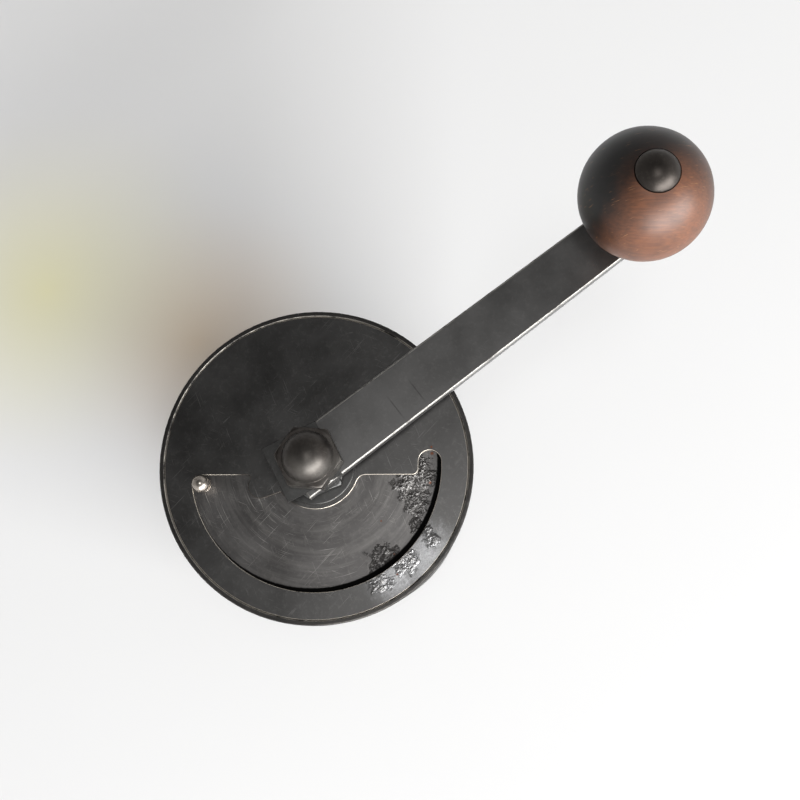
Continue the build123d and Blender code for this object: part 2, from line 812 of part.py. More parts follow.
write("body_shell", single(body_shell()))
write("base_plate", single(base_plate()))
write("base_felt", single(base_felt()))
write("base_screws", *wall_screws(base_screw_height))
write("burr_deck", single(burr_deck()))
write("deck_screws", *wall_screws(deck_screw_height))
write("hopper_ledge", single(hopper_ledge()))
write("ledge_screws", *wall_screws(ledge_screw_height, ledge_screw_length))
write("lower_bearing_bar", single(lower_bearing_bar()))
write("lower_bush", single(lower_bush()))
write("lower_bar_screws", *lower_bar_screws())
write("ring_burr", single(ring_burr()))
write("ring_burr_screws", *ring_burr_screws())
write("hopper_funnel", single(hopper_funnel()))
write("bearing_spider", single(bearing_spider()))
write("lid_spacer", single(lid_spacer()))
write("lid_plate", single(lid_plate()))
write("bearing_housing", single(bearing_housing()))
write("upper_bush", single(upper_bush()))
write("housing_ring_nut", single(housing_ring_nut()))
write("spring_washer", single(spring_washer()))
write("left_drawer_runner", single(drawer_runner(-1)))
write("right_drawer_runner", single(drawer_runner(1)))
write("shutter_disc", single(shutter_disc()))
write("shutter_knob", single(shutter_knob()))
write("keyed_washer", single(keyed_washer()))
write("adjusting_nut", single(adjusting_nut()))
write("drive_spindle", single(drive_spindle()))
write("cone_burr", single(cone_burr()))
write("burr_cross_pin", single(cross_pin_blank()))
write("load_spring", single(load_spring()))
write("crank_arm", single(crank_arm()))
write("square_washer", single(square_washer()))
write("cap_nut", single(cap_nut()))
write("knob_washer", single(knob_washer()))
write("knob_pin", single(knob_pin()))
write("knob_ball", single(knob_ball()))
write("drawer_box", single(drawer_box()))
write("drawer_front", single(drawer_front()))
write("drawer_knob", single(drawer_knob()))
write("drawer_screw", single(drawer_screw()))
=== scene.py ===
from math import acos, cos, pi, radians, sin, sqrt

import bmesh
import bpy
from mathutils import Matrix, Vector, noise


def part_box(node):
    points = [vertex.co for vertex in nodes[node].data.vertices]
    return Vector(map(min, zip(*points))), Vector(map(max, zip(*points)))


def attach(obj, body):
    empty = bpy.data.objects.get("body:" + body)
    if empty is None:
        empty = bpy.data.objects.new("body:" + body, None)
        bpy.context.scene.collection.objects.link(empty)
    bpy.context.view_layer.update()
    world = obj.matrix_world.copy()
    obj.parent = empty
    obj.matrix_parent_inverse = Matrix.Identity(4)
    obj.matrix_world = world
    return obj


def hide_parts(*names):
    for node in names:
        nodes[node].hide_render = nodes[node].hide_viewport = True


# Hand crank coffee grinder. Metres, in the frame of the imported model: +Z up, the drawer faces -Y,
# the origin is on the spindle's axis where the base stands.
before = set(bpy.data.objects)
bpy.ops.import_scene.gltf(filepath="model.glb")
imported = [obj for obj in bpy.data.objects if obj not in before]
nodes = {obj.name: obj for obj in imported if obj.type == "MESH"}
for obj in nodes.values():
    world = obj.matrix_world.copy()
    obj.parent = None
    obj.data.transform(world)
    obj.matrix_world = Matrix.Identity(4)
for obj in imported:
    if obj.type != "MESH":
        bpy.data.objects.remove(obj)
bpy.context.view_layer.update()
MM = 0.001


# ---- body tube --------------------------------------------------------------------------------
# The body is one drawn steel tube with a rolled rim, cut open at the front for the drawer. It was
# heated and oiled until it turned black, so it is satin and a little cloudy, and only its edges
# show bare metal.

def linear(code):
    """The linear colour of an sRGB hex code such as "2b2a28"."""
    channels = [int(code[i:i + 2], 16) / 255 for i in (0, 2, 4)]
    return [c / 12.92 if c <= 0.04045 else ((c + 0.055) / 1.055) ** 2.4 for c in channels] + [1.0]


def add(tree, kind, inputs=None, **settings):
    """Adds a node with its settings and gives its first output; an input takes a value, or an
    output to link from."""
    made = tree.nodes.new(kind)
    for name, value in settings.items():
        setattr(made, name, value)
    for key, value in (inputs or {}).items():
        if isinstance(value, bpy.types.NodeSocket):
            tree.links.new(value, made.inputs[key])
        else:
            made.inputs[key].default_value = value
    shown = [socket for socket in made.outputs if socket.enabled]
    return shown[0] if shown else made


def new_material(name):
    """An empty node material, its tree, and the coordinates of the object it is on."""
    made = bpy.data.materials.new(name)
    made.use_nodes = True
    made.node_tree.nodes.clear()
    coordinates = made.node_tree.nodes.new("ShaderNodeTexCoord")
    return made, made.node_tree, coordinates.outputs["Object"]


def noise_at(tree, place, size, detail, roughness=0.5, distortion=0.0):
    """Noise with lumps of about this size, in the units of the place."""
    return add(tree, "ShaderNodeTexNoise", {"Vector": place, "Scale": 1 / size, "Detail": detail,
                                            "Roughness": roughness, "Distortion": distortion})


def ramp(tree, value, low, high, start=0.0, end=1.0, **settings):
    """Runs from start to end while the value runs from low to high."""
    return add(tree, "ShaderNodeMapRange", {"Value": value, "From Min": low, "From Max": high,
                                            "To Min": start, "To Max": end}, **settings)


def reckon(tree, operation, *values):
    """One step of arithmetic on its values."""
    return add(tree, "ShaderNodeMath", dict(enumerate(values)), operation=operation)


def mix(tree, share, first, second):
    """The first colour, turning into the second as the share goes from 0 to 1."""
    return add(tree, "ShaderNodeMix", {0: share, 6: first, 7: second}, data_type="RGBA")


def split(tree, vector):
    """The X, Y and Z of a vector."""
    parts = tree.nodes.new("ShaderNodeSeparateXYZ")
    tree.links.new(vector, parts.inputs[0])
    return parts.outputs


def flattened(tree, place):
    """The place without its height."""
    return add(tree, "ShaderNodeVectorMath", {0: place, 1: (1, 1, 0)}, operation="MULTIPLY")


def measured(tree, operation, place, point):
    """The one number that a vector operation gives for the place and a fixed point."""
    measure = tree.nodes.new("ShaderNodeVectorMath")
    measure.operation = operation
    tree.links.new(place, measure.inputs[0])
    measure.inputs[1].default_value = point
    return measure.outputs["Value"]


def strongest(tree, masks):
    """The highest of several masks."""
    whole = masks[0]
    for mask in masks[1:]:
        whole = reckon(tree, "MAXIMUM", whole, mask)
    return whole


def shade(tree, finish):
    """Ends a material in one principled surface with this finish."""
    shader = add(tree, "ShaderNodeBsdfPrincipled", finish)
    add(tree, "ShaderNodeOutputMaterial", {"Surface": shader})


def near(tree, place, spots, wobble, soft=0.45):
    """1 in the middle of the nearest of some (x, y, radius) spots in millimetres, 0 outside them all;
    soft is the share of the radius over which a spot fades."""
    raggedness = 0.9
    reach = 1.45
    masks = []
    for x, y, radius in spots:
        apart = measured(tree, "DISTANCE", flattened(tree, place), (x * MM, y * MM, 0))
        ragged = reckon(tree, "MULTIPLY_ADD", wobble, raggedness * radius * MM, apart)
        masks.append(ramp(tree, ragged, (reach - soft) * radius * MM, reach * radius * MM, 1.0, 0.0,
                          interpolation_type="SMOOTHSTEP"))
    return strongest(tree, masks)


def hair_scratches(tree, place, scratched):
    """Fine straight scratches lying in four directions, in a list of masks."""
    height = 8 * MM
    hairs = []
    for angle, length, width, rarity in ((22, 9, 0.20, 0.735), (68, 6, 0.16, 0.74),
                                         (137, 11, 0.22, 0.73), (95, 4, 0.14, 0.76)):
        along = add(tree, "ShaderNodeMapping", {"Vector": place, "Location": (angle * MM, 0, 0),
                                                "Rotation": (0, 0, radians(angle)),
                                                "Scale": (length * MM, width * MM, height)},
                    vector_type="TEXTURE")
        hair = noise_at(tree, along, 1.0, 1.0)
        hairs.append(ramp(tree, hair, rarity - 0.03 * scratched, rarity + 0.06 - 0.03 * scratched))
    return hairs


def round_scratches(tree, place):
    """Masks of the fine arcs and of the broad rubbed sweeps that run round the spindle."""
    ring_width = 0.28 * MM
    x, y, _ = split(tree, place)
    turn = reckon(tree, "ARCTAN2", y, x)
    radius = measured(tree, "DISTANCE", flattened(tree, place), (0, 0, 0))
    ring = reckon(tree, "MULTIPLY", radius, 1 / ring_width)
    sweep = reckon(tree, "MULTIPLY", turn, 2.2)
    polar = add(tree, "ShaderNodeCombineXYZ", {0: ring, 1: sweep})
    arcs = ramp(tree, noise_at(tree, polar, 1.0, 1.0), 0.66, 0.76)
    wide = add(tree, "ShaderNodeVectorMath", {0: polar, 1: (0.12, 0.5, 0)}, operation="MULTIPLY")
    sweeps = ramp(tree, noise_at(tree, wide, 1.0, 4, 0.6), 0.45, 0.8, 0.0, 0.2)
    return arcs, sweeps


def rust_pits(tree, place, pits):
    """Masks of the hollows and of the bright crests in rusted, wrinkled spots, and their relief."""
    islands = noise_at(tree, place, 3.2 * MM, 4, 0.6)
    spread = reckon(tree, "MULTIPLY_ADD", islands, 3.2, -1.1)
    pit = near(tree, place, pits, spread, soft=0.9)
    wrinkle = noise_at(tree, place, 0.9 * MM, 4, 0.55, 0.5)
    hollow = reckon(tree, "MULTIPLY", ramp(tree, wrinkle, 0.38, 0.5, 0.25, 0.0), pit)
    crest = reckon(tree, "MULTIPLY", ramp(tree, wrinkle, 0.5, 0.66), pit)
    height = reckon(tree, "MULTIPLY", wrinkle, pit)
    eaten = add(tree, "ShaderNodeBump", {"Height": height, "Strength": 1.0, "Distance": 1.1 * MM})
    return hollow, crest, eaten


def short_cut(tree, place, x, y, turn, length, width):
    """A mask of one thin straight cut, its middle and size in millimetres, its turn in degrees."""
    at = add(tree, "ShaderNodeMapping", {"Vector": place, "Location": (x * MM, y * MM, 0),
                                         "Rotation": (0, 0, radians(turn)),
                                         "Scale": (length / 2 * MM, width / 2 * MM, 1.0)},
             vector_type="TEXTURE")
    along, across, _ = split(tree, add(tree, "ShaderNodeVectorMath", {0: at}, operation="ABSOLUTE"))
    return ramp(tree, reckon(tree, "MAXIMUM", along, across), 0.3, 1.0, 0.4, 0.0)


def shadow_ring_beyond(tree, place, wobble, across, off, radius):
    """A mask of all that lies outside a circle given in millimetres, with a slightly ragged border; used for
    a painted shadow.
    """
    border = 0.35
    apart = measured(tree, "DISTANCE", flattened(tree, place), (across * MM, off * MM, 0))
    rim = reckon(tree, "MULTIPLY_ADD", wobble, 0.4 * MM, apart)
    return ramp(tree, rim, radius * MM, (radius + border) * MM)


def blackened_steel(name, dark, light, scratch, roughness, scratched=0.3, round_spindle=False, pits=(),
                    pale=(), rust=(), lid_edge_shadow=None, cuts=(), metal=0.85):
    """Heat-blackened and oiled steel: satin black, faintly cloudy with brown where the oil has worn
    thin, crossed by hair scratches, and broken up by a fine tooth so highlights spread softly.
    Pits are rusted, wrinkled spots, and pale ones are rubbed down almost to the metal."""
    made, tree, place = new_material(name)
    clouds = noise_at(tree, place, 17 * MM, 5, 0.55)
    mottle = noise_at(tree, place, 1.3 * MM, 4, 0.7)
    tooth = noise_at(tree, place, 0.35 * MM, 2)
    colour = mix(tree, ramp(tree, clouds, 0.36, 0.66), linear(dark), linear(light))
    colour = mix(tree, ramp(tree, mottle, 0.52, 0.8, 0.0, 0.12), colour, linear(scratch))
    hairs = hair_scratches(tree, place, scratched)
    if round_spindle:
        arcs, sweeps = round_scratches(tree, place)
        hairs.append(arcs)
        colour = mix(tree, sweeps, colour, linear(scratch))
    patches = noise_at(tree, place, 12 * MM, 2)
    patch_mask = ramp(tree, patches, 0.46, 0.64, 0.05 * scratched, scratched)
    scratches = reckon(tree, "MULTIPLY", strongest(tree, hairs), patch_mask)
    colour = mix(tree, scratches, colour, linear(scratch))
    gloss = ramp(tree, clouds, 0.3, 0.7, roughness - 0.05, roughness + 0.05)
    relief = reckon(tree, "MULTIPLY_ADD", tooth, 0.4, mottle)
    relief = reckon(tree, "MULTIPLY_ADD", scratches, -0.5, relief)
    if pale:
        grain = ramp(tree, tooth, 0.3, 0.7, 0.55, 1.0)
        rub = reckon(tree, "MULTIPLY", near(tree, place, pale, mottle, soft=1.1), grain)
        colour = mix(tree, rub, colour, linear("b4b4b5"))
        relief = reckon(tree, "MULTIPLY_ADD", rub, 4.0, relief)
    if pits:
        hollow, crest, eaten = rust_pits(tree, place, pits)
        colour = mix(tree, hollow, colour, linear("2a231f"))
        colour = mix(tree, crest, colour, linear("b4b2b0"))
    if rust:
        specks = reckon(tree, "MULTIPLY", near(tree, place, rust, mottle, soft=0.9), 0.85)
        colour = mix(tree, specks, colour, linear("8a5236"))
        gloss = add(tree, "ShaderNodeMix", {0: specks, 2: gloss, 3: 0.75}, data_type="FLOAT")
    for cut in cuts:
        colour = mix(tree, short_cut(tree, place, *cut), colour, linear("2b2928"))
    # painted shadow: a near-black, matt band outside a circle stands in for the shadow of the lid's edge on
    # the shutter
    if lid_edge_shadow:
        painted_shadow = shadow_ring_beyond(tree, place, mottle, *lid_edge_shadow)
        colour = mix(tree, painted_shadow, colour, linear("0e0d0c"))
        gloss = add(tree, "ShaderNodeMix", {0: painted_shadow, 2: gloss, 3: 0.8}, data_type="FLOAT")
    bump = add(tree, "ShaderNodeBump", {"Height": relief, "Strength": 0.28, "Distance": 0.05 * MM})
    if pits:
        tree.links.new(eaten, bump.node.inputs["Normal"])
    shade(tree, {"Base Color": colour, "Metallic": metal, "Roughness": gloss, "Normal": bump})
    return made


def rubbed_steel(name, bare, left, share, roughness=0.34, painted_shade_spots=()):
    """Edges where the black has rubbed through to bare steel: a thin bright line that comes and goes.
    In the given spots the edge stays black, as painted shade."""
    made, tree, place = new_material(name)
    breaks = noise_at(tree, place, 6 * MM, 6, 0.65)
    grit = noise_at(tree, place, 0.6 * MM, 3)
    level = reckon(tree, "MULTIPLY_ADD", grit, 0.25, breaks)
    low = 0.86 - 0.5 * share
    mask = ramp(tree, level, low, low + 0.16)
    # painted shade: in these spots the edge stays black
    if painted_shade_spots:
        outside_painted_shade = reckon(tree, "SUBTRACT", 1.0, near(tree, place, painted_shade_spots, breaks))
        mask = reckon(tree, "MULTIPLY", mask, outside_painted_shade)
    colour = mix(tree, mask, linear(left), linear(bare))
    metal = ramp(tree, mask, 0.0, 1.0, 0.55, 1.0)
    bump = add(tree, "ShaderNodeBump", {"Height": grit, "Strength": 0.25, "Distance": 0.04 * MM})
    shade(tree, {"Base Color": colour, "Metallic": metal, "Roughness": roughness, "Normal": bump})
    return made


def place_piece(name, mesh):
    """A new object of this mesh, in the scene."""
    piece = bpy.data.objects.new(name, mesh)
    bpy.context.scene.collection.objects.link(piece)
    return piece


def bake_shape(piece):
    """Turns the piece's modifiers into its plain mesh."""
    graph = bpy.context.evaluated_depsgraph_get()
    mesh = bpy.data.meshes.new_from_object(piece.evaluated_get(graph), depsgraph=graph)
    piece.modifiers.clear()
    piece.data = mesh


def worn_copy(node, name, rounding, face_material, edge_material, steps=2, limit=32, only=None):
    """A copy of a CAD solid with its triangles joined into whole faces and its sharp edges rounded
    off, as handling rounds them: all of them, or only those whose ends pass a test. The rounded
    edges take the edge material."""
    mesh = nodes[node].data.copy()
    mesh.materials.clear()
    work = bmesh.new()
    work.from_mesh(mesh)
    bmesh.ops.remove_doubles(work, verts=work.verts, dist=0.0005 * MM)
    bmesh.ops.dissolve_degenerate(work, dist=0.0002 * MM, edges=work.edges)
    bmesh.ops.dissolve_limit(work, angle_limit=radians(0.4), verts=work.verts, edges=work.edges)
    for face in work.faces:
        face.smooth = True
        face.material_index = 0
    if only:
        weight = work.edges.layers.float.new("bevel_weight_edge")
        for edge in work.edges:
            edge[weight] = 1.0 if only(edge.verts[0].co) and only(edge.verts[1].co) else 0.0
    work.to_mesh(mesh)
    work.free()
    mesh.materials.append(face_material)
    mesh.materials.append(edge_material)
    mesh.set_sharp_from_angle(angle=radians(limit))
    piece = place_piece(name, mesh)
    if rounding:
        bevel = piece.modifiers.new("rounded edges", "BEVEL")
        bevel.width = rounding
        bevel.segments = steps
        bevel.limit_method = "WEIGHT" if only else "ANGLE"
        bevel.angle_limit = radians(limit)
        bevel.use_clamp_overlap = False
        bevel.material = 1
        if not only:
            weigh = piece.modifiers.new("flat faces stay flat", "WEIGHTED_NORMAL")
            weigh.mode = "FACE_AREA"
            weigh.weight = 100
        bake_shape(piece)
    return piece


def stand_for(piece, node, body):
    """Lets the piece ride on a body in the place of a CAD node, which it hides."""
    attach(piece, body)
    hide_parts(node)


tube_black = blackened_steel("heat_blackened_drawn_tube", "353433", "444240", "85827e", 0.42, 0.35)
tube_edge = rubbed_steel("rubbed_tube_edge", "b3aea6", "3a3836", 0.7, 0.45)
tube_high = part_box("body_shell")[1]
lid_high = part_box("lid_plate")[1]
mouth_radius = lid_high.x + 0.2 * MM
tube = worn_copy("body_shell", "body_tube", 0.28 * MM, tube_black, tube_edge,
                 only=lambda co: co.z > tube_high.z - 0.02 * MM and co.xy.length < mouth_radius)
stand_for(tube, "body_shell", "mill_body")


# ---- base -------------------------------------------------------------------------------------
# A pressed steel plate closes the tube from below, held by three slotted screws through the wall,
# and a ring of pressed wool felt is glued under it so the mill doesn't mark the table.

def worked_metal(name, dark, light, roughness, grain, metal=1.0, depth=0.03):
    """Bare metal with the marks of how it was worked: grain gives the size of the marks in
    millimetres along X, Y and Z, long one way where a tool or a die has drawn them out."""
    made, tree, place = new_material(name)
    marks_place = add(tree, "ShaderNodeMapping",
                      {"Vector": place, "Scale": tuple(size * MM for size in grain)},
                      vector_type="TEXTURE")
    marks = noise_at(tree, marks_place, 1.0, 4, 0.6)
    stains = noise_at(tree, place, 9 * MM, 4, 0.6)
    both = reckon(tree, "MULTIPLY_ADD", marks, 0.5, stains)
    mask = ramp(tree, both, 0.55, 0.95)
    colour = mix(tree, mask, linear(dark), linear(light))
    gloss = ramp(tree, stains, 0.3, 0.7, roughness + 0.08, roughness - 0.05)
    bump = add(tree, "ShaderNodeBump", {"Height": marks, "Strength": 0.4, "Distance": depth * MM})
    shade(tree, {"Base Color": colour, "Metallic": metal, "Roughness": gloss, "Normal": bump})
    return made


def pressed_felt(name):
    """Pressed wool felt: matt grey-green, with short fibres lying every way and a soft pale sheen."""
    made, tree, place = new_material(name)
    fibre = noise_at(tree, place, 0.5 * MM, 6, 0.75, 2.0)
    mask = ramp(tree, fibre, 0.35, 0.7)
    colour = mix(tree, mask, linear("2d332b"), linear("4b5247"))
    bump = add(tree, "ShaderNodeBump", {"Height": fibre, "Strength": 0.8, "Distance": 0.2 * MM})
    shade(tree, {"Base Color": colour, "Roughness": 0.95, "Sheen Weight": 0.4, "Normal": bump})
    return made


def finish_nodes(material, *names):
    """Gives CAD nodes that stay as they are their real material."""
    for name in names:
        nodes[name].data.materials.clear()
        nodes[name].data.materials.append(material)


screw_steel = worked_metal("turned_blackened_screw_steel", "2c2a28", "5a5752", 0.36, (0.3, 0.3, 0.3))
finish_nodes(tube_black, "base_plate")
felt = pressed_felt("pressed_wool_felt")
felt_ring = worn_copy("base_felt", "felt_ring", 0.5 * MM, felt, felt, steps=3)
stand_for(felt_ring, "base_felt", "mill_body")


# ---- wall screws ------------------------------------------------------------------------------
# Three rings of three countersunk slotted screws hold the base plate, the burr deck and the hopper
# ledge to the tube. They are blackened steel, each stopped at its own angle. Here their heads lie
# a tenth of a millimetre under the tube's surface, so they don't show from outside.

def countersunk_screw(name, length):
    """One screw along +X, the plane of the wall at x = 0, turned and then slotted across its face."""
    head_face, head_start = -0.1 * MM, -1.1 * MM
    shank, head, softened = 1.5 * MM, 2.7 * MM, 0.08 * MM
    outline = ((-length, 0), (-length, shank), (head_start, shank), (head_face - softened, head),
               (head_face, head - softened), (head_face, 0))
    work = bmesh.new()
    points = [work.verts.new((x, radius, 0)) for x, radius in outline]
    edges = [work.edges.new(pair) for pair in zip(points, points[1:])]
    bmesh.ops.spin(work, geom=points + edges, cent=(0, 0, 0), axis=(1, 0, 0), angle=2 * pi, steps=40)
    bmesh.ops.remove_doubles(work, verts=work.verts, dist=0.001 * MM)
    bmesh.ops.recalc_face_normals(work, faces=work.faces)
    mesh = bpy.data.meshes.new(name)
    work.to_mesh(mesh)
    work.free()
    screw = place_piece(name, mesh)
    work = bmesh.new()
    bmesh.ops.create_cube(work, size=1.0)
    slot_depth, slot_width = 0.5 * MM, 0.7 * MM
    bmesh.ops.scale(work, vec=(2 * slot_depth, 3 * head, slot_width), verts=work.verts)
    bmesh.ops.translate(work, vec=(head_face, 0, 0), verts=work.verts)
    saw_mesh = bpy.data.meshes.new("slotting_saw")
    work.to_mesh(saw_mesh)
    work.free()
    saw = place_piece("slotting_saw", saw_mesh)
    cut = screw.modifiers.new("slot", "BOOLEAN")
    cut.object = saw
    cut.solver = "EXACT"
    bake_shape(screw)
    bpy.data.objects.remove(saw)
    return screw


def screws_round_a_wall(material):
    """A tree that sets copies of one screw round a wall, and the identifiers of its inputs."""
    tree = bpy.data.node_groups.new("screws_round_a_wall", "GeometryNodeTree")
    tree.interface.new_socket("Screw", in_out="INPUT", socket_type="NodeSocketGeometry")
    keys = {}
    for label, kind in (("Wall radius", "NodeSocketFloat"), ("Height", "NodeSocketFloat"),
                        ("Count", "NodeSocketInt"), ("First angle", "NodeSocketFloat"), ("Seed",
                                                                                         "NodeSocketInt")):
        keys[label] = tree.interface.new_socket(label, in_out="INPUT", socket_type=kind).identifier
    tree.interface.new_socket("Screws", in_out="OUTPUT", socket_type="NodeSocketGeometry")
    given = tree.nodes.new("NodeGroupInput").outputs
    ring = add(tree, "GeometryNodeMeshCircle",
               {"Vertices": given["Count"], "Radius": given["Wall radius"]})
    lift = add(tree, "ShaderNodeCombineXYZ", {2: given["Height"]})
    swing = add(tree, "ShaderNodeCombineXYZ", {2: given["First angle"]})
    ring = add(tree, "GeometryNodeTransform", {"Geometry": ring, "Translation": lift, "Rotation": swing})
    x, y, _ = split(tree, add(tree, "GeometryNodeInputPosition"))
    outward = reckon(tree, "ARCTAN2", y, x)
    stop = add(tree, "FunctionNodeRandomValue", {2: -pi, 3: pi, "Seed": given["Seed"]}, data_type="FLOAT")
    pose = add(tree, "ShaderNodeCombineXYZ", {0: stop, 2: outward})
    screws = add(tree, "GeometryNodeInstanceOnPoints",
                 {"Points": ring, "Instance": given["Screw"], "Rotation": pose})
    screws = add(tree, "GeometryNodeRealizeInstances", {"Geometry": screws})
    screws = add(tree, "GeometryNodeSetMaterial", {"Geometry": screws, "Material": material})
    add(tree, "NodeGroupOutput", {0: screws})
    return tree, keys


wall_tree, wall_keys = screws_round_a_wall(screw_steel)
long_screw = 5.0 * MM
short_screw = 3.2 * MM
screws_in_a_ring = 3
first_screw_angle = radians(90)
for node, name, length, seed in (("base_screws", "base_wall_screws", long_screw, 3),
                                 ("deck_screws", "deck_wall_screws", long_screw, 5),
                                 ("ledge_screws", "ledge_wall_screws", short_screw, 8)):
    low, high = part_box(node)
    screws = countersunk_screw(name, length)
    setting = screws.modifiers.new("round the wall", "NODES")
    setting.node_group = wall_tree
    for label, value in (("Wall radius", tube_high.x), ("Height", (low.z + high.z) / 2),
                         ("Count", screws_in_a_ring), ("First angle", first_screw_angle),
                         ("Seed", seed)):
        setting[wall_keys[label]] = value
    bake_shape(screws)
    stand_for(screws, node, "mill_body")


# ---- drawer -----------------------------------------------------------------------------------
# The grounds fall into a folded tinplate box that slides in on two folded runners. A curved black
# front is soldered to it, with a small turned wooden knob held by a screw from inside.

def stained_wood(name, node, stains, pale, deep):
    """Turned beech, stained red-brown and waxed: fine dark grain lines across the knob, worn paler
    where fingers hold it and nearly black on the side where dirt and oil have soaked in."""
    made, tree, place = new_material(name)
    low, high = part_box(node)
    middle = (low + high) / 2
    centred = add(tree, "ShaderNodeMapping", {"Vector": place, "Location": middle}, vector_type="TEXTURE")
    lines = add(tree, "ShaderNodeMapping", {"Vector": centred, "Scale": (0.55 * MM, 9 * MM, 0.8 * MM)},
                vector_type="TEXTURE")
    grain = noise_at(tree, lines, 1.0, 4, distortion=0.3)
    flecks = noise_at(tree, centred, 7 * MM, 5, 0.6)
    grain_mask = ramp(tree, grain, 0.3, 0.72)
    colour = mix(tree, grain_mask, linear(deep), linear(pale))
    fleck_mask = ramp(tree, flecks, 0.42, 0.72, 0.0, 0.55)
    colour = mix(tree, fleck_mask, colour, linear("33221c"))
    stain_fade = 13
    for x, y, z, reach, depth in stains:
        apart = measured(tree, "DISTANCE", centred, (x * MM, y * MM, z * MM))
        ragged = reckon(tree, "MULTIPLY_ADD", flecks, 12 * MM, apart)
        stain = ramp(tree, ragged, reach * MM, (reach + stain_fade) * MM, depth, 0.0,
                     interpolation_type="SMOOTHSTEP")
        colour = mix(tree, stain, colour, linear("151312"))
    scuff_place = add(tree, "ShaderNodeMapping", {"Vector": centred, "Rotation": (0, 0, radians(12)),
                                                  "Scale": (0.2 * MM, 7 * MM, 3 * MM)},
                      vector_type="TEXTURE")
    scuff = noise_at(tree, scuff_place, 1.0, 1)
    scuff = ramp(tree, scuff, 0.71, 0.77, 0.0, 0.55)
    colour = mix(tree, scuff, colour, linear("c08a5c"))
    gloss = ramp(tree, flecks, 0.0, 1.0, 0.36, 0.52)
    bump = add(tree, "ShaderNodeBump", {"Height": grain, "Strength": 0.12, "Distance": 0.05 * MM})
    shade(tree, {"Base Color": colour, "Roughness": gloss, "IOR": 1.5, "Normal": bump,
                 "Coat Weight": 0.12, "Coat Roughness": 0.4})
    return made


tinplate = worked_metal("tinned_sheet", "8b8983", "b9b7b1", 0.33, (3, 3, 12), depth=0.02)
drawer_knob_stains = ((0, 9, -9, 10, 0.8),)
drawer_wood = stained_wood("stained_beech_drawer_knob", "drawer_knob", drawer_knob_stains, "84523a", "6a3f2a")
finish_nodes(tinplate, "drawer_box")
finish_nodes(tube_black, "left_drawer_runner", "right_drawer_runner")
finish_nodes(screw_steel, "drawer_screw")
drawer_face = worn_copy("drawer_front", "drawer_face", 0.25 * MM, tube_black, tube_edge)
stand_for(drawer_face, "drawer_front", "drawer")
drawer_grip = worn_copy("drawer_knob", "drawer_grip", 0.3 * MM, drawer_wood, drawer_wood)
stand_for(drawer_grip, "drawer_knob", "drawer")


# ---- burr deck and lower bearing --------------------------------------------------------------
# A flanged steel deck carries the burr set. Under it a cast bar with a brass bush holds the foot
# of the spindle, fixed by two screws.

cast_iron = worked_metal("cast_iron_bar", "2b2927", "4b4845", 0.55, (0.8, 0.8, 0.8), metal=0.8,
                         depth=0.12)
brass = worked_metal("turned_brass_bush", "8a6a35", "c09a55", 0.30, (0.2, 0.2, 3))
finish_nodes(tube_black, "burr_deck")
finish_nodes(cast_iron, "lower_bearing_bar")
finish_nodes(brass, "lower_bush", "upper_bush")
finish_nodes(screw_steel, "lower_bar_screws", "ring_burr_screws")


# ---- burr set ---------------------------------------------------------------------------------
# A hardened cone turns inside a hardened ring, both cut with twenty slanting teeth and ground.

burr_steel = worked_metal("ground_burr_steel", "5b5956", "8e8b86", 0.32, (0.25, 0.25, 5))
finish_nodes(burr_steel, "ring_burr", "cone_burr", "burr_cross_pin")


# ---- hopper -----------------------------------------------------------------------------------
# Beans slide down a spun tinplate funnel that hangs by its flange from a steel ledge ring.

finish_nodes(tube_black, "hopper_ledge")
finish_nodes(tinplate, "hopper_funnel")


# ---- spider and spacer ------------------------------------------------------------------------
# A flat spider carries the upper bearing across the mouth, and a spacer ring leaves the shutter
# its room between the spider and the lid.

finish_nodes(tube_black, "bearing_spider", "lid_spacer")


# ---- shutter ----------------------------------------------------------------------------------
# A thin disc turns under the lid to close the feed opening, pushed by a small ball-headed pin. Its
# black is scratched in arcs round the spindle and pitted with old rust on the damp side.

rust_spots = ((4.5, 29.5, 7.5), (12, 31, 4.5), (29, 21, 5.2), (18, 31, 2.6))
# the near-black band along the feed opening's edge is a painted shadow of the lid's edge, widest on the
# window side
shutter_black = blackened_steel("scratched_shutter_plate", "4f4d4c", "636160", "b4b1ac", 0.325, 0.75,
                                round_spindle=True, pits=rust_spots, lid_edge_shadow=(-1.0, -1.0,
                                                                             38.2), metal=0.83,
                                rust=((-3.6, 35.6, 0.7), (5.4, 35.0, 0.6), (27, 24, 0.5), (17, 20, 0.45)))
shutter_edge = rubbed_steel("rubbed_shutter_edge", "9c968d", "302e2c", 0.5)
shutter = worn_copy("shutter_disc", "shutter_plate", 0.15 * MM, shutter_black, shutter_edge)
stand_for(shutter, "shutter_disc", "shutter")
bead_steel = rubbed_steel("finger_polished_steel", "bdb5ac", "7a7169", 0.7, 0.27)
bead = worn_copy("shutter_knob", "shutter_bead", 0.08 * MM, bead_steel, bead_steel)
stand_for(bead, "shutter_knob", "shutter")


# ---- lid --------------------------------------------------------------------------------------
# A flat steel disc let into the tube's mouth, pierced with the half-round feed opening and the slot
# for the shutter's pin. Its cut edges are rubbed to bare metal; beside the tongue they are painted black as
# shade.

lid_black = blackened_steel("blackened_lid_plate", "4a4948", "575655", "a9a7a4", 0.33, 0.5,
                            pits=((34, 19, 4.6), (29, 27.5, 4.4), (22, 35, 3.0)),
                            pale=((29, 33, 15), (34, 24, 11)), metal=0.91,
                            rust=((-5.4, 35.4, 0.5), (33, 25, 0.5)))
# beside the tongue the lid's edge is kept black as painted shade
lid_edge = rubbed_steel("rubbed_lid_edge", "d8d0c4", "4a443e", 0.85, 0.42,
                        painted_shade_spots=((6, -17, 11), (10, -11, 9)))
lid = worn_copy("lid_plate", "lid_disc", 0.18 * MM, lid_black, lid_edge)
stand_for(lid, "lid_plate", "mill_body")


# ---- upper bearing ----------------------------------------------------------------------------
# A flanged housing with a brass bush passes through lid and spider, locked below by a ring nut. A
# spring under it keeps the cone pulled down against the adjusting nut.

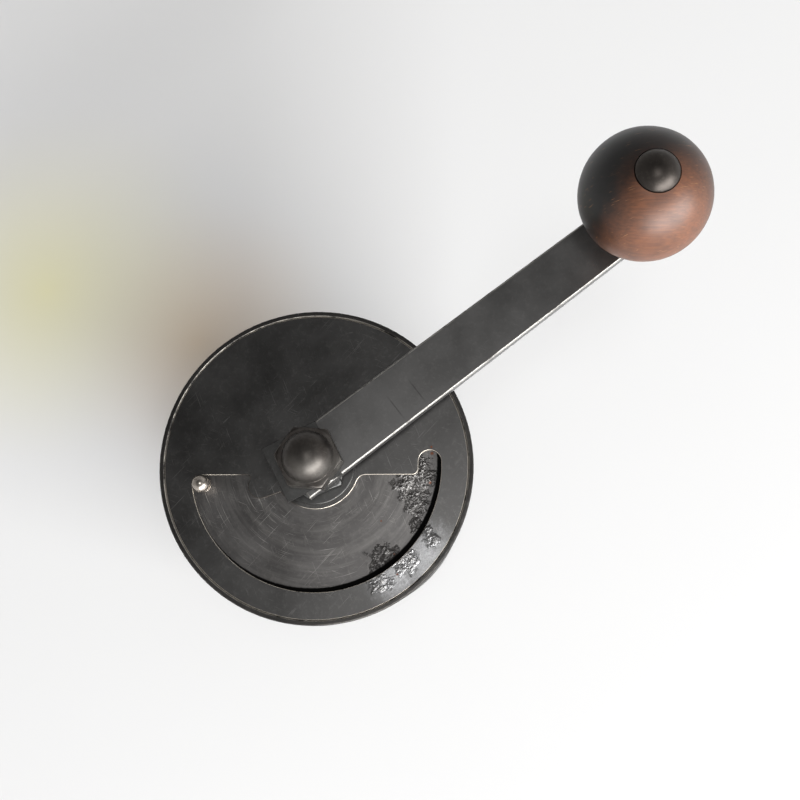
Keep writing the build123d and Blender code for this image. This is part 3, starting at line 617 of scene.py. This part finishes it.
collar_black = blackened_steel("blackened_collar", "434241", "50504f", "9d9b98", 0.36, 0.4, metal=0.88)
collar_edge = rubbed_steel("rubbed_collar_edge", "cfc6b8", "35322f", 0.75)
drawn_wire = worked_metal("drawn_spring_wire", "3f3f42", "77777a", 0.3, (0.3, 0.3, 2))
collar = worn_copy("bearing_housing", "bearing_collar", 0.12 * MM, collar_black, collar_edge)
stand_for(collar, "bearing_housing", "mill_body")
finish_nodes(screw_steel, "housing_ring_nut", "spring_washer")
finish_nodes(drawn_wire, "load_spring")


# ---- spindle and adjusting nut ----------------------------------------------------------------
# The spindle is turned steel with a flat for the keyed washer. The hex nut under the arm lifts or
# lowers it to set the grind.

bare_steel = worked_metal("turned_bare_steel", "6d6b68", "9b9995", 0.3, (4, 4, 0.15))
finish_nodes(bare_steel, "drive_spindle")
for node, name, body in (("keyed_washer", "keyed_washer_ring", "spindle_key"),
                         ("adjusting_nut", "adjusting_hex_nut", "grind_adjuster")):
    stand_for(worn_copy(node, name, 0.12 * MM, collar_black, collar_black), node, body)


# ---- crank arm --------------------------------------------------------------------------------
# A flat forged bar, tapering a little to the knob, filed to a small chamfer all round and blackened.
# Its long edges are rubbed bright.

arm_black = blackened_steel("blackened_forged_bar", "5b5a59", "686766", "9c9a97", 0.37, 0.35,
                            cuts=((-15.7, 24.9, 37.2, 9.5, 0.55),
                                  (-20.6, 31.3, 37.2, 9.5, 0.5)), metal=0.85)
arm_edge = rubbed_steel("rubbed_arm_edge", "b9b6b0", "4b4845", 0.8, 0.42)
arm = worn_copy("crank_arm", "crank_bar", 0.15 * MM, arm_black, arm_edge)
stand_for(arm, "crank_arm", "crank")


# ---- square washer and cap nut ----------------------------------------------------------------
# A square washer and a domed nut clamp the arm on its square. The nut has gone brown in the hand and
# its dome is rubbed shiny.

greasy_edge = rubbed_steel("greasy_washer_edge", "63605c", "2b2927", 0.45, 0.5)
washer = worn_copy("square_washer", "square_washer_plate", 0.12 * MM, collar_black, greasy_edge)
stand_for(washer, "square_washer", "crank")
nut_brown = blackened_steel("hand_browned_nut", "2e2825", "63605c", "a09b93", 0.41, 0.4, metal=0.85)
nut_edge = rubbed_steel("rubbed_nut_edge", "7d7872", "3a3734", 0.5, 0.45)
nut = worn_copy("cap_nut", "domed_cap_nut", 0.12 * MM, nut_brown, nut_edge)
stand_for(nut, "cap_nut", "crank")


# ---- knob -------------------------------------------------------------------------------------
# A turned beech ball spins on a steel pin riveted to the arm. The pin's domed head sits in a
# counterbore in the ball, and a washer keeps the wood off the arm.

def turned_piece(name, middle, outline, segments, waver):
    """A piece turned on a lathe from a closed (radius, height) outline, with its surface drawn in by
    up to waver where hand sanding has taken more off."""
    work = bmesh.new()
    ring = [work.verts.new((middle.x + radius, middle.y, height)) for radius, height in outline]
    edges = [work.edges.new((ring[i], ring[(i + 1) % len(ring)])) for i in range(len(ring))]
    bmesh.ops.spin(work, geom=ring + edges, cent=(middle.x, middle.y, 0), axis=(0, 0, 1), angle=2 * pi,
                   steps=segments)
    bmesh.ops.remove_doubles(work, verts=work.verts, dist=0.001 * MM)
    for vert in work.verts:
        out = Vector((vert.co.x - middle.x, vert.co.y - middle.y, vert.co.z - middle.z))
        drawn = waver * (0.5 + 0.5 * noise.noise(out / (9 * MM)))
        vert.co -= out.normalized() * drawn
    bmesh.ops.recalc_face_normals(work, faces=work.faces)
    for face in work.faces:
        face.smooth = True
    mesh = bpy.data.meshes.new(name)
    work.to_mesh(mesh)
    work.free()
    mesh.set_sharp_from_angle(angle=radians(40))
    return place_piece(name, mesh)


ball_low, ball_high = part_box("knob_ball")
ball_radius = (ball_high.x - ball_low.x) / 2
ball_middle = Vector(((ball_low.x + ball_high.x) / 2, (ball_low.y + ball_high.y) / 2, 0))
middle_rise = 18.5 * MM
bore_radius = 4.1 * MM
ball_middle.z = ball_low.z + middle_rise
counterbore = sqrt(ball_radius ** 2 - (ball_high.z - ball_middle.z) ** 2)
counterbore_depth = 2.4 * MM
foot_angle = acos(middle_rise / ball_radius)
top_angle = pi - acos((ball_high.z - ball_middle.z) / ball_radius)
ball_steps = 56
ball_segments = 112
sanded_off = 0.12 * MM
outline = [(bore_radius, ball_low.z)]
for step in range(ball_steps + 1):
    angle = foot_angle + (top_angle - foot_angle) * step / ball_steps
    outline.append((ball_radius * sin(angle), ball_middle.z - ball_radius * cos(angle)))
outline.append((counterbore, ball_high.z - counterbore_depth))
outline.append((bore_radius, ball_high.z - counterbore_depth))
ball = turned_piece("wooden_ball", ball_middle, outline, ball_segments, sanded_off)
knob_stains = ((-6, -19, 2, 21, 1.0), (-17, -3, 9, 17, 0.9), (-11, 15, 9, 14, 0.55), (2, 22, -2, 12, 0.5))
knob_wood = stained_wood("stained_turned_beech", "knob_ball", knob_stains, "7b4c31", "5e3a27")
ball.data.materials.append(knob_wood)
stand_for(ball, "knob_ball", "crank_knob")
pin_brown = blackened_steel("hand_rubbed_pin_head", "322e2b", "4a4541", "918a80", 0.38, 0.3, metal=0.85)
pin = worn_copy("knob_pin", "riveted_knob_pin", 0.15 * MM, pin_brown, pin_brown)
stand_for(pin, "knob_pin", "crank")
finish_nodes(screw_steel, "knob_washer")


# ---- floor, lights and camera -----------------------------------------------------------------
# White paper lit by a wide soft window low on the handle's side, and by a small patch of ceiling
# that gives the lid its sheen. The room is bright near the horizon and dark overhead.

work = bmesh.new()
floor_radius = 1.9
bmesh.ops.create_circle(work, cap_ends=True, radius=floor_radius, segments=96)
floor_mesh = bpy.data.meshes.new("paper_floor")
work.to_mesh(floor_mesh)
work.free()
floor = place_piece("paper_floor", floor_mesh)
paper, tree, place = new_material("white_paper")
fibre = noise_at(tree, place, 0.3, 2)
tone = mix(tree, fibre, linear("ebebeb"), linear("efefef"))
# two soft patches of painted light on the paper, on the side away from the window: a warm tint painted into
# the mill's shadow and a yellow one standing in for coloured reflected light
for spot, tint, share in (((-70, -70, 75), "f8dab2", 0.8), ((-95, -140, 95), "fdf6ae", 0.85)):
    cast = near(tree, place, (spot,), fibre, soft=1.4)
    cast = reckon(tree, "MULTIPLY", cast, share)
    tone = mix(tree, cast, tone, linear(tint))
shade(tree, {"Base Color": tone, "Roughness": 0.9})
floor_mesh.materials.append(paper)

lit_point = Vector((0, 0, 0.14))
for name, toward, distance, size, power in (
        ("low_window", (0.74, 0.59, 0.37), 2.8, (4.0, 1.4), 192),
        ("ceiling_patch", (0.06, 0.10, 1.0), 0.95, (0.24, 0.24), 1.3)):
    light = bpy.data.lights.new(name, "AREA")
    light.shape = "RECTANGLE"
    light.size, light.size_y = size
    light.energy = power
    lamp = bpy.data.objects.new(name, light)
    bpy.context.scene.collection.objects.link(lamp)
    direction = Vector(toward).normalized()
    lamp.location = lit_point + direction * distance
    lamp.rotation_euler = direction.to_track_quat("Z", "Y").to_euler()

world = bpy.data.worlds.new("room")
bpy.context.scene.world = world
world.use_nodes = True
tree = world.node_tree
tree.nodes.clear()
way = tree.nodes.new("ShaderNodeTexCoord").outputs["Generated"]
walls = ramp(tree, split(tree, way)[2], 0.45, 0.85, 0.72, 0.06)
window_side = (0.78, 0.62, 0)
side = ramp(tree, measured(tree, "DOT_PRODUCT", way, window_side), -1.0, 0.3, 0.5, 1.15)
walls = reckon(tree, "MULTIPLY", walls, side)
sky = add(tree, "ShaderNodeBackground", {"Color": linear("f1f0ef"), "Strength": walls})
add(tree, "ShaderNodeOutputWorld", {"Surface": sky})
bpy.context.scene.view_settings.view_transform = "Standard"

height_over_rim = 0.32087
camera_data = bpy.data.cameras.new("camera")
camera_data.sensor_width = 36.0
camera_data.lens = 47.52
camera_data.clip_start = 0.01
camera = bpy.data.objects.new("camera", camera_data)
bpy.context.scene.collection.objects.link(camera)
right = Vector((0.0, 0.9995, -0.033)).normalized()
forward = Vector((-0.166, -0.033, -0.986)).normalized()
up = right.cross(forward)
turned = Matrix((right, up, right.cross(up))).transposed().to_4x4()
camera.matrix_world = Matrix.Translation((0.03403, 0.0364, tube_high.z + height_over_rim)) @ turned
bpy.context.scene.camera = camera
